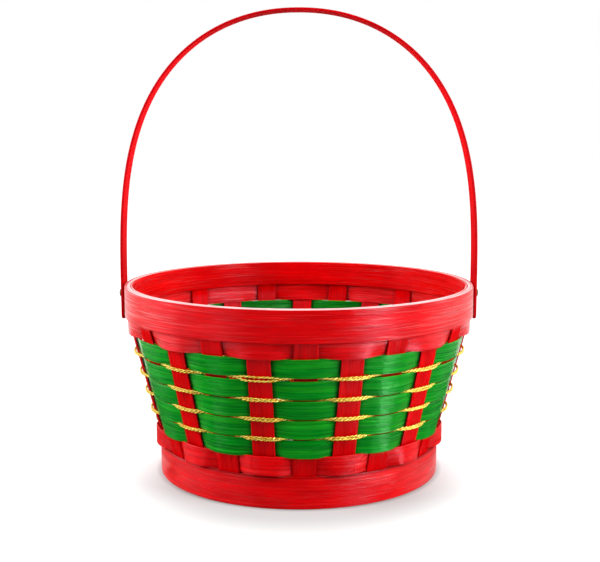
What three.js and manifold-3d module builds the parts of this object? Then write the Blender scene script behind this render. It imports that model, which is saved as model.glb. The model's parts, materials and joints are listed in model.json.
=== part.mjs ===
// A round handled basket plaited from flat bamboo strips, in millimetres, +Z up.
// The origin is the middle of the foot, on the surface that the basket stands on.
// Azimuths are measured from the front (-Y) towards +X.
import * as THREE from "three";
import Module from "manifold-3d";
import { mergeVertices } from "three/addons/utils/BufferGeometryUtils.js";

const wasm = await Module();
wasm.setup();

// Rim and foot
const basketHeight = 135;
const rimOuterRadius = 125;
const rimOuterBandHeight = 21.3;
const rimInnerBandHeight = 18.6;
const rimOuterBandThickness = 1.6;
const rimInnerBandThickness = 1.2;
const rimFillerHeight = 1.2;
const footOuterRadius = 101;
const footBandHeight = 21.6;
const footBandThickness = 1.6;
const bandLap = 40;
const bandEndThickness = 0.22;
const bandLapAzimuth = THREE.MathUtils.degToRad(180);
const innerBandLapAzimuth = THREE.MathUtils.degToRad(0);
const fillerLapAzimuth = THREE.MathUtils.degToRad(150);
const bandSteps = 56;
const bandLapSteps = 4;

// Uprights and floor: each strip rises on one side, crosses the floor and rises on the other
const stripsEachWay = 6;
const stripWidth = 15.8;
const stripThickness = 0.9;
const firstStripAzimuth = THREE.MathUtils.degToRad(1.65);
const wallBendBelowRimBand = 2.1;
const floorHeight = 3;
const floorBendRadius = 3;
const floorBendSteps = 3;
const wallSway = 0.3;
const wallSwayRamp = 8;

// Woven hoops
const weaverThickness = 0.8;
const weaveGap = 0.25;
const topRowTuck = 0.6;
const topRowHeight = 13.3;
const topRowStandoff = [0, 1.3];
const greenRows = 5;
const greenRowStandoff = [0, 0.6];
const bottomRowHeight = 12.3;
const bottomRowStandoff = [0.6, 3.8];
const bottomRowAboveFoot = 1.2;
const redToGreenGap = 0.4;
const edgePlay = 0.35;

// Gold cords, each in a gap between two green hoops, from the top one down
const cordGaps = [2.6, 1.4, 1.4, 1.4];
const cordHeights = [4.2, 2.6, 2.6, 2.6];
const cordEdgeShare = 0.77;
const cordThickness = 1.8;
const cordInsideHeight = 1.4;
const cordInsideThickness = 1.4;

// Handle
const handleRise = 195.9;
const handleSpringBelowRim = 2.8;
const handleWidth = 19;
const handleThickness = 2.1;
const handleLegGap = 0.6;
const handleTailBelowRivet = 16.9;
const handleTailCorner = 4;
const handleSideExponent = 2.11;
const handleRiseExponent = 2.985;
const handleSteps = 50;

// Rivets that the handle swings on
const rivetBelowRim = 7.7;
const rivetShankRadius = 1.4;
const rivetHeadRadius = 3.5;
const rivetHeadRise = 0.9;
const rivetHoleClearance = 0.25;
const rivetTailRadius = 2.4;
const rivetTailRise = 0.8;
const washerRadius = 4.5;
const washerThickness = 0.7;
const fastenerGap = 0.25;

// Values worked out from the sizes above
const strips = 2 * stripsEachWay;
const uprights = 2 * strips;
const uprightPitch = (2 * Math.PI) / uprights;
const rimOuterBandBottom = basketHeight - rimOuterBandHeight;
const rimInnerBandBottom = basketHeight - rimInnerBandHeight;
const rimOuterBandInner = rimOuterRadius - rimOuterBandThickness;
const footBandInner = footOuterRadius - footBandThickness;
const wallBendHeight = rimOuterBandBottom - wallBendBelowRimBand;
const rivetHeight = basketHeight - rivetBelowRim;
const handleSpringHeight = basketHeight - handleSpringBelowRim;
const legInner = rimOuterRadius + handleLegGap;
const legOuter = legInner + handleThickness;

// How far the middle of a flat upright lies inside the circle through its edges
function flatSag(radius) {
  return stripWidth ** 2 / (8 * radius);
}

// The rim bands clamp one upright and one hoop, with a gap on each side of both
const rimSag = flatSag(rimOuterBandInner);
const rimSandwich = stripThickness + weaverThickness + rimSag + 3 * weaveGap;
const rimInnerBandOuter = rimOuterBandInner - rimSandwich;
const rimInnerRadius = rimInnerBandOuter - rimInnerBandThickness;
const rimFillerOuter = rimOuterBandInner - weaveGap;
const rimFillerThickness = rimFillerOuter - rimInnerBandOuter - weaveGap;
const rimFillerBottom = basketHeight - rimFillerHeight;
const rimUprightIn = rimInnerBandOuter + weaveGap + stripThickness / 2;
const rimUprightOut = rimOuterBandInner - weaveGap - rimSag - stripThickness / 2;
const rimWallRadius = (rimUprightIn + rimUprightOut) / 2;
const rimSway = (rimUprightOut - rimUprightIn) / 2;
const footWallRadius = footBandInner - weaveGap - flatSag(footBandInner) - stripThickness / 2;

// The rows: a red row passes inside the first upright, and a green row outside it.
// The green rows share the wall that the red rows and the cords leave.
const topRow = { top: rimInnerBandBottom + topRowTuck };
topRow.bottom = topRow.top - topRowHeight;
const bottomRow = { bottom: footBandHeight + bottomRowAboveFoot };
bottomRow.top = bottomRow.bottom + bottomRowHeight;
const rowGaps = [...cordGaps, redToGreenGap];
const greensTop = topRow.bottom - redToGreenGap;
const greensHeight = greensTop - bottomRow.top - rowGaps.reduce((sum, gap) => sum + gap);
const greenRowHeight = greensHeight / greenRows;
const greens = [];
for (let i = 0, top = greensTop; i < greenRows; i++) {
  greens.push({ top, bottom: top - greenRowHeight });
  top -= greenRowHeight + rowGaps[i];
}

// Radius of the middle of the uprights, before they sway
function wallRadius(z) {
  const share = (z - footBandHeight) / (wallBendHeight - footBandHeight);
  return THREE.MathUtils.lerp(footWallRadius, rimWallRadius, THREE.MathUtils.clamp(share, 0, 1));
}

// Heights at which the uprights change their sway, and how far the first upright sways out there
const swayStations = [
  [footBandHeight, 0],
  [bottomRow.top, 0],
  [bottomRow.top + wallSwayRamp, -wallSway],
  [topRow.bottom - wallSwayRamp, -wallSway],
  [topRow.bottom, 0],
  [wallBendHeight, rimSway],
];

function sway(z) {
  if (z <= swayStations[0][0]) return 0;
  for (let i = 1; i < swayStations.length; i++) {
    const [low, lowSway] = swayStations[i - 1];
    const [high, highSway] = swayStations[i];
    if (z <= high) return THREE.MathUtils.mapLinear(z, low, high, lowSway, highSway);
  }
  return rimSway;
}

// Horizontal unit vectors at an azimuth: outwards, and along the wall
function outwards(azimuth) {
  return new THREE.Vector3(Math.sin(azimuth), -Math.cos(azimuth), 0);
}

function alongWall(azimuth) {
  return new THREE.Vector3(Math.cos(azimuth), Math.sin(azimuth), 0);
}

// A closed body through a list of cross-sections, each with the same number of corners
function loft(sections, closed) {
  const corners = sections[0].length;
  const positions = sections.flat().flatMap((p) => [p.x, p.y, p.z]);
  const index = [];
  const spans = closed ? sections.length : sections.length - 1;
  for (let i = 0; i < spans; i++) {
    const a = i * corners;
    const b = ((i + 1) % sections.length) * corners;
    for (let j = 0; j < corners; j++) {
      const k = (j + 1) % corners;
      index.push(a + j, b + j, b + k, a + j, b + k, a + k);
    }
  }
  if (!closed) {
    const last = (sections.length - 1) * corners;
    for (let j = 1; j < corners - 1; j++) {
      index.push(0, j, j + 1);
      index.push(last, last + j + 1, last + j);
    }
  }
  if (signedVolume(positions, index) < 0) index.reverse();
  const geometry = new THREE.BufferGeometry();
  geometry.setAttribute("position", new THREE.Float32BufferAttribute(positions, 3));
  geometry.setIndex(index);
  return geometry;
}

function signedVolume(positions, index) {
  const corner = (i) => new THREE.Vector3().fromArray(positions, 3 * i);
  let volume = 0;
  for (let i = 0; i < index.length; i += 3) {
    const [a, b, c] = [corner(index[i]), corner(index[i + 1]), corner(index[i + 2])];
    volume += a.dot(b.cross(c)) / 6;
  }
  return volume;
}

function toSolid(geometry) {
  const bare = geometry.clone();
  bare.deleteAttribute("normal");
  bare.deleteAttribute("uv");
  const merged = mergeVertices(bare, 1e-4);
  const vertProperties = new Float32Array(merged.getAttribute("position").array);
  const triVerts = new Uint32Array(merged.getIndex().array);
  return new wasm.Manifold(new wasm.Mesh({ numProp: 3, vertProperties, triVerts }));
}

function toGeometry(solid) {
  const mesh = solid.getMesh();
  const geometry = new THREE.BufferGeometry();
  geometry.setAttribute("position", new THREE.Float32BufferAttribute(mesh.vertProperties, 3));
  geometry.setIndex(Array.from(mesh.triVerts));
  return geometry;
}

// Cuts the straight hole that both rivets share, from one side of the basket to the other
function drillForRivets(geometry) {
  const radius = rivetShankRadius + rivetHoleClearance;
  const drill = new THREE.CylinderGeometry(radius, radius, 4 * rimOuterRadius, 12);
  drill.rotateZ(Math.PI / 2);
  drill.translate(0, 0, rivetHeight);
  return toGeometry(toSolid(geometry).subtract(toSolid(drill)));
}

// A flat strip bent round once, with its ends cut to thin wedges and lapped at an azimuth
function band(outerRadius, thickness, bottom, top, lapAzimuth) {
  const innerRadius = outerRadius - thickness;
  const lap = bandLap / outerRadius;
  const lapStart = lapAzimuth - lap / 2;
  const wedge = thickness - bandEndThickness - weaveGap;
  const section = (azimuth, inner, outer) => {
    const spoke = outwards(azimuth);
    const corner = (radius, z) => spoke.clone().multiplyScalar(radius).setZ(z);
    return [corner(inner, bottom), corner(outer, bottom), corner(outer, top), corner(inner, top)];
  };
  const wedgeAt = (share) => THREE.MathUtils.lerp(bandEndThickness, wedge, share);
  const shoulder = weaveGap / outerRadius;
  const from = lapStart + lap + shoulder;
  const to = lapStart + 2 * Math.PI - shoulder;
  const underlap = [];
  const overlap = [];
  for (let i = 0; i <= bandLapSteps; i++) {
    const share = i / bandLapSteps;
    const azimuth = lapStart + share * lap;
    underlap.push(section(azimuth, innerRadius, innerRadius + wedgeAt(share)));
    overlap.push(section(azimuth + 2 * Math.PI, outerRadius - wedgeAt(1 - share), outerRadius));
  }
  const whole = [];
  for (let i = 0; i <= bandSteps; i++) {
    const azimuth = THREE.MathUtils.lerp(from, to, i / bandSteps);
    whole.push(section(azimuth, innerRadius, outerRadius));
  }
  return loft([...underlap, ...whole, ...overlap], false);
}

// Azimuths round one row, with its weave: 1 outside the first upright, -1 inside it.
// A strip lies flat across each upright and changes sides between two of them.
function weaveStations(z) {
  const flat = Math.asin(stripWidth / 2 / wallRadius(z)) + 0.005;
  const stations = [];
  for (let i = 0; i < uprights; i++) {
    const azimuth = firstStripAzimuth + i * uprightPitch;
    const side = i % 2 ? -1 : 1;
    stations.push({ azimuth: azimuth - flat, weave: side });
    stations.push({ azimuth, weave: side, middle: true });
    stations.push({ azimuth: azimuth + flat, weave: side });
    stations.push({ azimuth: azimuth + uprightPitch / 2, weave: 0 });
  }
  return stations;
}

// Radius of the middle of a woven strip of the given thickness
function wovenRadius(z, weave, side, thickness) {
  const sag = flatSag(wallRadius(z));
  const crossing = (stripThickness + thickness + sag) / 2 + weaveGap + side * sway(z);
  return wallRadius(z) + sag / 2 + weave * crossing;
}

// A hoop of flat strip. side is 1 where it passes outside the first upright, -1 where inside.
// standoff is how far its upper and lower edge stand off the uprights that it passes over.
function wovenHoop({ bottom, top, side, standoff, topPlay, bottomPlay }) {
  const levels = [bottom, top];
  if (bottom < wallBendHeight && wallBendHeight < top) levels.splice(1, 0, wallBendHeight);
  const freeTop = Math.min(top, wallBendHeight);
  const sections = weaveStations((bottom + top) / 2).map((station) => {
    const weave = station.weave * side;
    const spokes = outwards(station.azimuth);
    const corner = (z, face) => {
      const low = Math.max(0, (freeTop - z) / (freeTop - bottom));
      const away = (THREE.MathUtils.lerp(...standoff, low) * (1 + weave)) / 2;
      const radius = wovenRadius(z, weave, side, weaverThickness) + away;
      const play = weave * THREE.MathUtils.lerp(topPlay, bottomPlay, low);
      return spokes.clone().multiplyScalar(radius + (face * weaverThickness) / 2).setZ(z + play);
    };
    const outerFace = levels.map((z) => corner(z, 1));
    const innerFace = levels.map((z) => corner(z, -1)).reverse();
    return [...outerFace, ...innerFace];
  });
  return loft(sections, true);
}

// A gold cord: outside the uprights that the green hoops pass inside, and pinched between hoops
function goldCord(z, gap, height) {
  const stations = weaveStations(z).filter(({ middle, weave }) => !middle || weave < 0);
  const sections = stations.map((station) => {
    const weave = -station.weave;
    let halfHeight = gap / 2 - weaveGap;
    let halfThickness = cordThickness / 2;
    if (weave > 0) halfHeight = (height / 2) * (station.middle ? 1 : cordEdgeShare);
    if (weave < 0) {
      halfHeight = cordInsideHeight / 2;
      halfThickness = cordInsideThickness / 2;
    }
    const radius = wovenRadius(z, weave, -1, 2 * halfThickness);
    const spokes = outwards(station.azimuth);
    const corner = (out, up) => spokes.clone().multiplyScalar(radius + out).setZ(z + up);
    return [
      corner(halfThickness, 0),
      corner(0, halfHeight),
      corner(-halfThickness, 0),
      corner(0, -halfHeight),
    ];
  });
  return loft(sections, true);
}

// Floor grid: as many strips each way, spaced so that their ends meet the wall at one pitch
const gridMiddle = (stripsEachWay - 1) / 2;
const gridTurn = gridMiddle % 1;
const gridAzimuth = firstStripAzimuth + gridTurn * uprightPitch;

function gridOffset(i) {
  return footWallRadius * Math.sin((i - gridMiddle) * uprightPitch);
}

// Cross-section of a strip: a rectangle from its middle, its width direction and its normal
function stripSection(middle, across, normal) {
  const corner = (u, v) =>
    middle
      .clone()
      .addScaledVector(across, (u * stripWidth) / 2)
      .addScaledVector(normal, (v * stripThickness) / 2);
  return [corner(-1, -1), corner(1, -1), corner(1, 1), corner(-1, 1)];
}

// The upright end of a strip, from its top down to where it lies on the floor
function uprightSections(index, across) {
  const azimuth = firstStripAzimuth + index * uprightPitch;
  const out = outwards(azimuth);
  const side = index % 2 ? -1 : 1;
  const heights = [rimFillerBottom - weaveGap, ...swayStations.map((s) => s[0]).reverse()];
  const line = heights.map((z) => new THREE.Vector2(wallRadius(z) + side * sway(z), z));
  for (let i = 0; i <= floorBendSteps; i++) {
    const turn = (i / floorBendSteps) * (Math.PI / 2);
    const inwards = footWallRadius - floorBendRadius * (1 - Math.cos(turn));
    line.push(new THREE.Vector2(inwards, floorHeight + floorBendRadius * (1 - Math.sin(turn))));
  }
  return line.map((point, i) => {
    const before = point.clone().sub(line[Math.max(i - 1, 0)]).normalize();
    const after = line[Math.min(i + 1, line.length - 1)].clone().sub(point).normalize();
    const path = before.clone().add(after).normalize();
    if (i === line.length - 1) path.set(-1, 0);
    const reach = i === line.length - 1 ? 1 : 1 / Math.max(path.dot(after), path.dot(before));
    const normal = out.clone().multiplyScalar(-path.y).setZ(path.x).multiplyScalar(reach);
    const middle = out.clone().multiplyScalar(point.x).setZ(point.y);
    return stripSection(middle, across, normal);
  });
}

// One whole strip. turned is false for the strips along the grid and true for those across it.
function basketStrip(i, turned) {
  const direction = gridAzimuth + (turned ? Math.PI / 2 : 0);
  const ahead = outwards(direction);
  const across = alongWall(direction);
  const down = new THREE.Vector3(0, 0, -1);
  const quarter = turned ? stripsEachWay : 0;
  const startIndex = quarter + gridTurn + i - gridMiddle;
  const endIndex = quarter + uprights / 2 + gridTurn - i + gridMiddle;
  const azimuthOf = (index) => firstStripAzimuth + index * uprightPitch;
  const offset = gridOffset(i);
  const crossings = [];
  for (let j = stripsEachWay - 1; j >= 0; j--) {
    const over = (i + j) % 2 === (turned ? 1 : 0) ? 1 : -1;
    const height = floorHeight + (over * (stripThickness + weaveGap)) / 2;
    const place = turned ? -gridOffset(j) : gridOffset(j);
    crossings.push({ place, height });
  }
  crossings.sort((a, b) => b.place - a.place);
  const floor = crossings.flatMap(({ place, height }) =>
    [place + stripWidth / 2, place - stripWidth / 2].map((x) => {
      const middle = ahead.clone().multiplyScalar(x).addScaledVector(across, offset).setZ(height);
      return stripSection(middle, across, down);
    }),
  );
  const start = uprightSections(startIndex, alongWall(azimuthOf(startIndex)));
  const end = uprightSections(endIndex, alongWall(azimuthOf(endIndex)).negate());
  return loft([...start, ...floor, ...end.reverse()], false);
}

// The handle's outer face is a superellipse above the spring line, with straight legs below it
function handleArch() {
  const outline = [];
  const fine = 2000;
  for (let i = 0; i <= fine; i++) {
    const turn = (i / fine) * (Math.PI / 2);
    const x = legOuter * Math.cos(turn) ** (2 / handleSideExponent);
    const z = handleSpringHeight + handleRise * Math.sin(turn) ** (2 / handleRiseExponent);
    outline.push(new THREE.Vector3(x, 0, z));
  }
  const left = outline.slice(0, -1).map((p) => new THREE.Vector3(-p.x, 0, p.z)).reverse();
  return resample([...outline, ...left], handleSteps);
}

// Points at equal steps along a fine polyline
function resample(points, steps) {
  const lengths = [0];
  for (let i = 1; i < points.length; i++) {
    lengths.push(lengths[i - 1] + points[i].distanceTo(points[i - 1]));
  }
  const total = lengths[lengths.length - 1];
  const result = [];
  let i = 1;
  for (let step = 0; step <= steps; step++) {
    const wanted = (step / steps) * total;
    while (i < points.length - 1 && lengths[i] < wanted) i++;
    const share = (wanted - lengths[i - 1]) / (lengths[i] - lengths[i - 1]);
    result.push(points[i - 1].clone().lerp(points[i], share));
  }
  return result;
}

function handleStrip() {
  const arch = handleArch();
  const tailWidths = [
    [0, handleWidth / 2 - handleTailCorner],
    [handleTailCorner * 0.3, handleWidth / 2 - handleTailCorner * 0.3],
    [handleTailCorner, handleWidth / 2],
  ];
  const section = (outer, normal, halfWidth) => {
    const inner = outer.clone().addScaledVector(normal, -handleThickness);
    const shift = (p, y) => new THREE.Vector3(p.x, y, p.z);
    return [
      shift(outer, -halfWidth),
      shift(outer, halfWidth),
      shift(inner, halfWidth),
      shift(inner, -halfWidth),
    ];
  };
  const tail = (side) =>
    tailWidths.map(([up, halfWidth]) => {
      const outer = new THREE.Vector3(side * legOuter, 0, rivetHeight - handleTailBelowRivet + up);
      return section(outer, new THREE.Vector3(side, 0, 0), halfWidth);
    });
  const bow = arch.map((point, i) => {
    if (i === 0) return section(point, new THREE.Vector3(1, 0, 0), handleWidth / 2);
    if (i === arch.length - 1) return section(point, new THREE.Vector3(-1, 0, 0), handleWidth / 2);
    const path = arch[i + 1].clone().sub(arch[i - 1]).normalize();
    return section(point, new THREE.Vector3(path.z, 0, -path.x), handleWidth / 2);
  });
  return loft([...tail(1), ...bow, ...tail(-1).reverse()], false);
}

// Half the outline of a shallow dome, from its rim to its top
function dome(radius, rise, base) {
  const steps = 3;
  const points = [];
  for (let i = 0; i < steps; i++) {
    const turn = (i / steps) * (Math.PI / 2);
    points.push(new THREE.Vector2(radius * Math.cos(turn), base + rise * Math.sin(turn)));
  }
  return points;
}

// A rivet along its own Y axis, turned to lie along X with its head outwards
function rivet(side) {
  const headBase = legOuter + fastenerGap;
  const tailBase = washerSeat() - washerThickness - fastenerGap;
  const tail = dome(rivetTailRadius, -rivetTailRise, tailBase).reverse();
  const profile = [
    new THREE.Vector2(0, tailBase - rivetTailRise),
    ...tail,
    new THREE.Vector2(rivetShankRadius, tailBase),
    new THREE.Vector2(rivetShankRadius, headBase),
    ...dome(rivetHeadRadius, rivetHeadRise, headBase),
    new THREE.Vector2(0, headBase + rivetHeadRise),
  ];
  return lieAlongX(new THREE.LatheGeometry(profile, 12), side);
}

// The washer is flat, so its edge meets the hollow side of the rim first
function washerSeat() {
  return Math.sqrt(rimInnerRadius ** 2 - washerRadius ** 2) - fastenerGap;
}

function washer(side) {
  const bore = rivetShankRadius + rivetHoleClearance;
  const seat = washerSeat();
  const profile = [
    new THREE.Vector2(bore, seat - washerThickness),
    new THREE.Vector2(washerRadius, seat - washerThickness),
    new THREE.Vector2(washerRadius, seat),
    new THREE.Vector2(bore, seat),
    new THREE.Vector2(bore, seat - washerThickness),
  ];
  return lieAlongX(new THREE.LatheGeometry(profile, 12), side);
}

function lieAlongX(geometry, side) {
  geometry.deleteAttribute("normal");
  geometry.deleteAttribute("uv");
  geometry.rotateZ((-side * Math.PI) / 2);
  geometry.translate(0, 0, rivetHeight);
  return mergeVertices(geometry, 1e-4);
}

// Finishes
const redBamboo = { color: 0xc4070c, roughness: 0.45, metalness: 0 };
const paleBamboo = { color: 0xf2c4c0, roughness: 0.6, metalness: 0 };
const greenBamboo = { color: 0x04701c, roughness: 0.42, metalness: 0 };
const goldThread = { color: 0xd4aa43, roughness: 0.35, metalness: 0.8 };
const rivetMetal = { color: 0x9c9478, roughness: 0.4, metalness: 1 };

const basket = new THREE.Group();

function addPiece(name, geometry, finish) {
  const mesh = new THREE.Mesh(geometry, new THREE.MeshStandardMaterial(finish));
  mesh.name = name;
  basket.add(mesh);
}

// Bands
const outerBand = band(
  rimOuterRadius,
  rimOuterBandThickness,
  rimOuterBandBottom,
  basketHeight,
  bandLapAzimuth,
);
const innerBand = band(
  rimInnerBandOuter,
  rimInnerBandThickness,
  rimInnerBandBottom,
  basketHeight,
  innerBandLapAzimuth,
);
const filler = band(
  rimFillerOuter,
  rimFillerThickness,
  rimFillerBottom,
  basketHeight,
  fillerLapAzimuth,
);
const footBand = band(footOuterRadius, footBandThickness, 0, footBandHeight, bandLapAzimuth);
addPiece("rim_outer_band", drillForRivets(outerBand), redBamboo);
addPiece("rim_inner_band", drillForRivets(innerBand), redBamboo);
addPiece("rim_filler", filler, paleBamboo);
addPiece("foot_band", footBand, redBamboo);

// Strips
for (let i = 0; i < strips; i++) {
  const turned = i >= stripsEachWay;
  const geometry = basketStrip(i % stripsEachWay, turned);
  const name = `strip_${String(i + 1).padStart(2, "0")}`;
  addPiece(name, drillForRivets(geometry), redBamboo);
}

// Hoops
const redTop = { ...topRow, side: -1, standoff: topRowStandoff, topPlay: 0, bottomPlay: -edgePlay };
addPiece("weaver_red_top", wovenHoop(redTop), redBamboo);
greens.forEach((row, i) => {
  const hoop = { ...row, side: 1, standoff: greenRowStandoff, topPlay: 0, bottomPlay: -edgePlay };
  addPiece(`weaver_green_${i + 1}`, wovenHoop(hoop), greenBamboo);
});
const redBottom = { ...bottomRow, side: -1, standoff: bottomRowStandoff };
addPiece(
  "weaver_red_bottom",
  wovenHoop({ ...redBottom, topPlay: edgePlay, bottomPlay: edgePlay }),
  redBamboo,
);

// Cords
cordGaps.forEach((gap, i) => {
  const z = greens[i].bottom - gap / 2;
  addPiece(`gold_cord_${i + 1}`, goldCord(z, gap, cordHeights[i]), goldThread);
});

// Handle and what it swings on
addPiece("handle", drillForRivets(handleStrip()), redBamboo);
for (const [name, side] of [["left", -1], ["right", 1]]) {
  addPiece(`rivet_${name}`, rivet(side), rivetMetal);
  addPiece(`rivet_washer_${name}`, washer(side), rivetMetal);
}

export default basket;
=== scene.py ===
"""A round basket plaited from dyed bamboo strips, with gold cords and a swing handle.

Sizes are in millimetres, and become metres where a mesh is made. Azimuths are measured
from the front (-Y) towards +X, as in the model that the frame holds.
"""

import json
import math

import bpy
import numpy as np
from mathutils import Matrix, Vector


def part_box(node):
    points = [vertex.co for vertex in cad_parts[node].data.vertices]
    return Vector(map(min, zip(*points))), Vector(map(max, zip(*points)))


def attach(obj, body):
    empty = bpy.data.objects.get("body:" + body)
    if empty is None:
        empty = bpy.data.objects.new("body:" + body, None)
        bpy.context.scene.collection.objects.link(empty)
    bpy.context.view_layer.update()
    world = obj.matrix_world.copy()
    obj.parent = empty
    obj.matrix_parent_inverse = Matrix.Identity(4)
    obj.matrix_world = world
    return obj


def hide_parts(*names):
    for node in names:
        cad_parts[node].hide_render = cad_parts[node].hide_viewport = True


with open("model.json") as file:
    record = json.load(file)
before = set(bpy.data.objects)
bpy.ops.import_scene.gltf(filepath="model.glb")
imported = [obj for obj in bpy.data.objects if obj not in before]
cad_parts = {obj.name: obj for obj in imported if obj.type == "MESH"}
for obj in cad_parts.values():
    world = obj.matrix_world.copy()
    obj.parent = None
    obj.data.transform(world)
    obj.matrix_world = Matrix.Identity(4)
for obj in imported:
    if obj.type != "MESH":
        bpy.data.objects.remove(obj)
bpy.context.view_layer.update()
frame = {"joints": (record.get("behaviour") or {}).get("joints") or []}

MM = 0.001
TURN = 2 * math.pi
UP = np.array([0, 0, 1.0])
FRONT = 0.0
BACK = math.pi


def extent(node):
    """Radius, lowest and highest z of a round CAD node."""
    low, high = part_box(node)
    return (high.y - low.y) / 2 / MM, low.z / MM, high.z / MM


# Rim and foot, from the frame. How far down from a band's top the lip's worn dye with its painted
# highlight reaches, and how far the foot's painted shadow reaches.
RIM_RADIUS, RIM_BAND_BOTTOM, RIM_TOP = extent("rim_outer_band")
INNER_BAND_RADIUS, _, _ = extent("rim_inner_band")
FILLER_RADIUS, FILLER_BOTTOM, _ = extent("rim_filler")
FOOT_RADIUS, _, FOOT_TOP = extent("foot_band")
RIM_BAND_THICKNESS = 1.6
INNER_BAND_THICKNESS = 1.2
FOOT_BAND_THICKNESS = 1.6
BAND_LAP = 40
BAND_END_THICKNESS = 0.22
BAND_LEAN = 0.07
# How dark the painted shadow along the foot's top edge is, where the bottom hoop would shade it
BAND_PAINTED_SHADOW = 0.6
FILLER_LAP = math.radians(150)
LIP_WORN_AND_LIT = 0.2
FOOT_PAINTED_SHADOW = 0.9

# Strips
STRIPS_EACH_WAY = 6
UPRIGHTS = 4 * STRIPS_EACH_WAY
PITCH = TURN / UPRIGHTS
FIRST_AZIMUTH = math.radians(1.65)
STRIP_WIDTH = 15.8
STRIP_THICKNESS = 0.9
STRIP_EDGE_RADIUS = 0.22
GAP = 0.25
FLOOR_HEIGHT = 3
FLOOR_BEND_RADIUS = 3
WALL_BEND_BELOW_RIM_BAND = 2.1
WALL_SWAY = 0.3
WALL_SWAY_RAMP = 8

# How far the uprights have drifted along the rim, in degrees, at some azimuths in between
DRIFT_AZIMUTHS = (-180, -133, -73, -58, -13, 10, 61, 77, 150, 180)
DRIFTS = (-3.0, -5.1, -2.2, 1.8, 1.3, 0.1, -2.4, 2.5, -1.2, -3.0)
DRIFT_AT_FOOT = 0.5
STRIP_SHRINKAGE = 0.04
STRIP_WIDTH_UNEVEN = 0.012
STRIP_WANDER = 0.12
STRIP_SEED = 100
# Painted shade on an upright's outer face where it passes behind the green hoops
BEHIND_GREENS_PAINTED_SHADE = 0.5

# Hoops
WEAVER_THICKNESS = 0.8
WEAVER_EDGE_RADIUS = 0.2
EDGE_PLAY = 0.35
CLOSE_PLAY = 0.1
TOP_ROW_SETTLED = 0.45
GREEN_ROWS = 5
TOP_ROW_STANDOFF = (0, 1.3)
GREEN_ROW_STANDOFF = (0, 0.6)
BOTTOM_ROW_STANDOFF = (0.6, 3.8)
HOOP_UNEVEN = 0.05
HOOP_RAGGED = 0.06
# Painted shade on the hoops where they go in under an upright, and how dark it is
RED_HOOP_PAINTED_SHADE = 0.45
GREEN_HOOP_PAINTED_SHADE = 0.8

# How a strip bows over each upright: a cosine, flattened by its cube
BOW = 1.587
BOW_FLATTENING = 0.437

# Length after which the grain of an open strip would repeat
OPEN_LOOP = 2500.0

# How close to a strip's edge its edge colour reaches. Where it is lighter it is partly wear and
# partly a painted highlight; on the handle it is darker, a painted shade.
NEAR_EDGE = 0.6

# Gold cords: two strands each, side by side over an upright and one behind the other inside
CORD_THICKNESS = 1.8
STRAND_PLY_RADIUS = 0.37
STRAND_TWIST = 6.2
STRAND_SPREAD = 2.5
STRAND_NEAR = 0.95
STRAND_SLACK = 0.35
STRAND_UNEVEN = 0.12
LOOSE_CROSSING = -1
CORD_SEED = 300

# Handle
HANDLE_SIDE_EXPONENT = 2.11
HANDLE_RISE_EXPONENT = 2.985
HANDLE_THICKNESS = 2.1
HANDLE_EDGE_RADIUS = 0.55
HANDLE_CROWN_SHARE = 0.76
HANDLE_SPRING_BELOW_RIM = 2.8
HANDLE_TAIL_CORNER = 4
HANDLE_TAIL_LONGER = 1.4
HANDLE_TAIL_BEVEL = 1.2
HANDLE_TAIL_TIP_SHARE = 0.55
HANDLE_UNEVEN = 0.008
HANDLE_SEED = 500
# Painted shadow on a tail beside the rim band, and painted shade on the legs' inner faces
BESIDE_RIM_PAINTED_SHADOW = 0.55
HANDLE_LEG_PAINTED_SHADE = 0.5

# Rivets
RIVET_HEAD_RADIUS = 3.5
RIVET_HEAD_RISE = 0.9
RIVET_HEAD_PROUDER = 1.3
RIVET_SHANK_RADIUS = 1.4
RIVET_TAIL_RADIUS = 2.4
RIVET_TAIL_RISE = 0.8
RIVET_HEIGHT = frame["joints"][0]["pos_m"][2] / MM

RIM_BAND_INSIDE = RIM_RADIUS - RIM_BAND_THICKNESS
FOOT_BAND_INSIDE = FOOT_RADIUS - FOOT_BAND_THICKNESS
WALL_BEND = RIM_BAND_BOTTOM - WALL_BEND_BELOW_RIM_BAND


def flat_sag(radius):
    """How far the middle of a flat strip lies inside the circle through its edges."""
    return STRIP_WIDTH**2 / (8 * radius)


RIM_UPRIGHT_IN = INNER_BAND_RADIUS + GAP + STRIP_THICKNESS / 2
RIM_UPRIGHT_OUT = RIM_BAND_INSIDE - GAP - flat_sag(RIM_BAND_INSIDE) - STRIP_THICKNESS / 2
RIM_WALL = (RIM_UPRIGHT_IN + RIM_UPRIGHT_OUT) / 2
RIM_SWAY = (RIM_UPRIGHT_OUT - RIM_UPRIGHT_IN) / 2
FOOT_WALL = FOOT_BAND_INSIDE - GAP - flat_sag(FOOT_BAND_INSIDE) - STRIP_THICKNESS / 2


def row(node, play):
    """Lowest and highest z of a hoop's strip, whose lower edge has some play in the CAD node."""
    _, low, high = extent(node)
    return low + play, high


TOP_ROW = row("weaver_red_top", EDGE_PLAY - TOP_ROW_SETTLED)
BOTTOM_ROW = row("weaver_red_bottom", CLOSE_PLAY)
GREENS = [row(f"weaver_green_{i}", EDGE_PLAY) for i in range(1, GREEN_ROWS)]
GREENS.append(row(f"weaver_green_{GREEN_ROWS}", CLOSE_PLAY))
SWAY_HEIGHTS = (
    FOOT_TOP,
    BOTTOM_ROW[1],
    BOTTOM_ROW[1] + WALL_SWAY_RAMP,
    TOP_ROW[0] - WALL_SWAY_RAMP,
    TOP_ROW[0],
    WALL_BEND,
)
SWAYS = (0, 0, -WALL_SWAY, -WALL_SWAY, 0, RIM_SWAY)


def wall_radius(z):
    """Radius of the middle of the uprights, before they sway."""
    return np.interp(z, (FOOT_TOP, WALL_BEND), (FOOT_WALL, RIM_WALL))


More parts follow.
